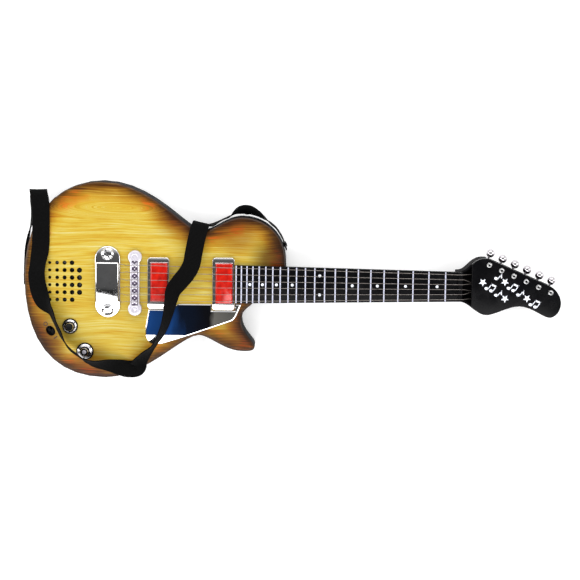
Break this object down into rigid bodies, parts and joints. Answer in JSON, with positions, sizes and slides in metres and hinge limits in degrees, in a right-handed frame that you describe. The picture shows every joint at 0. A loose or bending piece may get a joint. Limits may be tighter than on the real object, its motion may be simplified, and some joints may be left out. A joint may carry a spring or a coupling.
{
  "type": "toy electric guitar",
  "caption": "Toy electric guitar lying on its back: sunburst wood-look front, black neck, chrome-look hardware, turning knobs and tuners, webbing strap.",
  "frame": {"origin": "the point of the flat back right under the middle of the bridge", "axes": "+X along the strings towards the headstock, +Y towards the upper horn, +Z out of the front face"},
  "size_m": [0.6806, 0.2501, 0.072],
  "materials": {
    "film": "glossy wood-grain sunburst print under clear film",
    "black_shell": "moulded black, satin",
    "black_gloss": "moulded black, glossy",
    "chrome_plate": "chrome-plated plastic, mirror bright",
    "silver_plastic": "silver-white plated plastic",
    "red_lens": "translucent red, glossy",
    "string_wire": "grey plastic-coated cord",
    "webbing": "black woven ribbon",
    "steel": "zinc plated",
    "circuit": "green circuit board",
    "cell_wrap": "plain printed battery sleeve",
    "paper_cone": "pressed paper"
  },
  "bodies": {
    "guitar_body": {"back_shell": "black_shell", "battery_cell_1": "cell_wrap", "battery_cell_2": "cell_wrap", "battery_cell_3": "cell_wrap", "battery_contact_plate": "steel", "battery_spring_plate": "steel", "bridge": "silver_plastic", "case_screw_1": "steel", "case_screw_2": "steel", "case_screw_3": "steel", "case_screw_4": "steel", "circuit_board": "circuit", "fretboard": "black_gloss", "front_cover": "film", "headstock_cover": "black_gloss", "jack_socket": "black_gloss", "led_board_bridge": "circuit", "led_board_neck": "circuit", "neck_screw": "steel", "neck_shell": "black_shell", "nut": "black_gloss", "pickguard": "chrome_plate", "pickup_frame_bridge": "chrome_plate", "pickup_frame_neck": "chrome_plate", "pickup_lens_bridge": "red_lens", "pickup_lens_neck": "red_lens", "power_switch_body": "black_shell", "speaker_cone": "paper_cone", "speaker_frame": "steel", "strap": "webbing", "strap_button_horn": "black_gloss", "strap_button_tail": "black_gloss", "string_1": "string_wire", "string_2": "string_wire", "string_3": "string_wire", "string_4": "string_wire", "string_5": "string_wire", "string_6": "string_wire", "tailpiece": "chrome_plate", "tailpiece_screw_lower": "chrome_plate", "tailpiece_screw_upper": "chrome_plate", "tone_pot": "steel", "volume_pot": "steel"},
    "volume_knob": {"volume_knob": "chrome_plate"},
    "tone_knob": {"tone_knob": "chrome_plate"},
    "power_slider": {"power_switch_slider": "black_gloss"},
    "battery_door": {"battery_door": "black_shell", "battery_door_screw": "steel"},
    "tuner_button_1": {"tuner_button_1": "chrome_plate"},
    "tuner_post_1": {"tuner_post_1": "chrome_plate"},
    "tuner_button_2": {"tuner_button_2": "chrome_plate"},
    "tuner_post_2": {"tuner_post_2": "chrome_plate"},
    "tuner_button_3": {"tuner_button_3": "chrome_plate"},
    "tuner_post_3": {"tuner_post_3": "chrome_plate"},
    "tuner_button_4": {"tuner_button_4": "chrome_plate"},
    "tuner_post_4": {"tuner_post_4": "chrome_plate"},
    "tuner_button_5": {"tuner_button_5": "chrome_plate"},
    "tuner_post_5": {"tuner_post_5": "chrome_plate"},
    "tuner_button_6": {"tuner_button_6": "chrome_plate"},
    "tuner_post_6": {"tuner_post_6": "chrome_plate"}
  },
  "joints": [
    {"name": "volume_turn", "type": "hinge", "parent": "guitar_body", "child": "volume_knob", "pos_m": [-0.0821, -0.056, 0.0405], "axis": [0, 0, 1], "range_deg": [-135, 135]},
    {"name": "tone_turn", "type": "hinge", "parent": "guitar_body", "child": "tone_knob", "pos_m": [-0.0635, -0.0879, 0.0405], "axis": [0, 0, 1], "range_deg": [-135, 135]},
    {"name": "power_slide", "type": "slide", "parent": "guitar_body", "child": "power_slider", "axis": [0.5878, -0.809, 0], "range_m": [0, 0.004]},
    {"name": "battery_door_swing", "type": "hinge", "parent": "guitar_body", "child": "battery_door", "pos_m": [0.0394, 0.02, 0], "axis": [0, 1, 0], "range_deg": [0, 75]},
    {"name": "tuner_turn_1", "type": "hinge", "parent": "guitar_body", "child": "tuner_button_1", "pos_m": [0.44156, 0.02918, 0.034], "axis": [0.3986, 0.9171, 0], "continuous": true},
    {"name": "post_turn_1", "type": "hinge", "parent": "guitar_body", "child": "tuner_post_1", "pos_m": [0.4445, 0.0279, 0.0295], "axis": [0, 0, 1], "continuous": true},
    {"name": "tuner_turn_2", "type": "hinge", "parent": "guitar_body", "child": "tuner_button_2", "pos_m": [0.45716, 0.0224, 0.034], "axis": [0.3986, 0.9171, 0], "continuous": true},
    {"name": "post_turn_2", "type": "hinge", "parent": "guitar_body", "child": "tuner_post_2", "pos_m": [0.4601, 0.02112, 0.0295], "axis": [0, 0, 1], "continuous": true},
    {"name": "tuner_turn_3", "type": "hinge", "parent": "guitar_body", "child": "tuner_button_3", "pos_m": [0.47276, 0.01562, 0.034], "axis": [0.3986, 0.9171, 0], "continuous": true},
    {"name": "post_turn_3", "type": "hinge", "parent": "guitar_body", "child": "tuner_post_3", "pos_m": [0.4757, 0.01434, 0.0295], "axis": [0, 0, 1], "continuous": true},
    {"name": "tuner_turn_4", "type": "hinge", "parent": "guitar_body", "child": "tuner_button_4", "pos_m": [0.48836, 0.00884, 0.034], "axis": [0.3986, 0.9171, 0], "continuous": true},
    {"name": "post_turn_4", "type": "hinge", "parent": "guitar_body", "child": "tuner_post_4", "pos_m": [0.4913, 0.00756, 0.0295], "axis": [0, 0, 1], "continuous": true},
    {"name": "tuner_turn_5", "type": "hinge", "parent": "guitar_body", "child": "tuner_button_5", "pos_m": [0.50396, 0.00206, 0.034], "axis": [0.3986, 0.9171, 0], "continuous": true},
    {"name": "post_turn_5", "type": "hinge", "parent": "guitar_body", "child": "tuner_post_5", "pos_m": [0.5069, 0.00078, 0.0295], "axis": [0, 0, 1], "continuous": true},
    {"name": "tuner_turn_6", "type": "hinge", "parent": "guitar_body", "child": "tuner_button_6", "pos_m": [0.51957, -0.00472, 0.034], "axis": [0.3986, 0.9171, 0], "continuous": true},
    {"name": "post_turn_6", "type": "hinge", "parent": "guitar_body", "child": "tuner_post_6", "pos_m": [0.5225, -0.006, 0.0295], "axis": [0, 0, 1], "continuous": true}
  ],
  "couplings": [
    {"joint": "post_turn_1", "follows": "tuner_turn_1", "ratio": 0.0667},
    {"joint": "post_turn_2", "follows": "tuner_turn_2", "ratio": 0.0667},
    {"joint": "post_turn_3", "follows": "tuner_turn_3", "ratio": 0.0667},
    {"joint": "post_turn_4", "follows": "tuner_turn_4", "ratio": 0.0667},
    {"joint": "post_turn_5", "follows": "tuner_turn_5", "ratio": 0.0667},
    {"joint": "post_turn_6", "follows": "tuner_turn_6", "ratio": 0.0667}
  ]
}
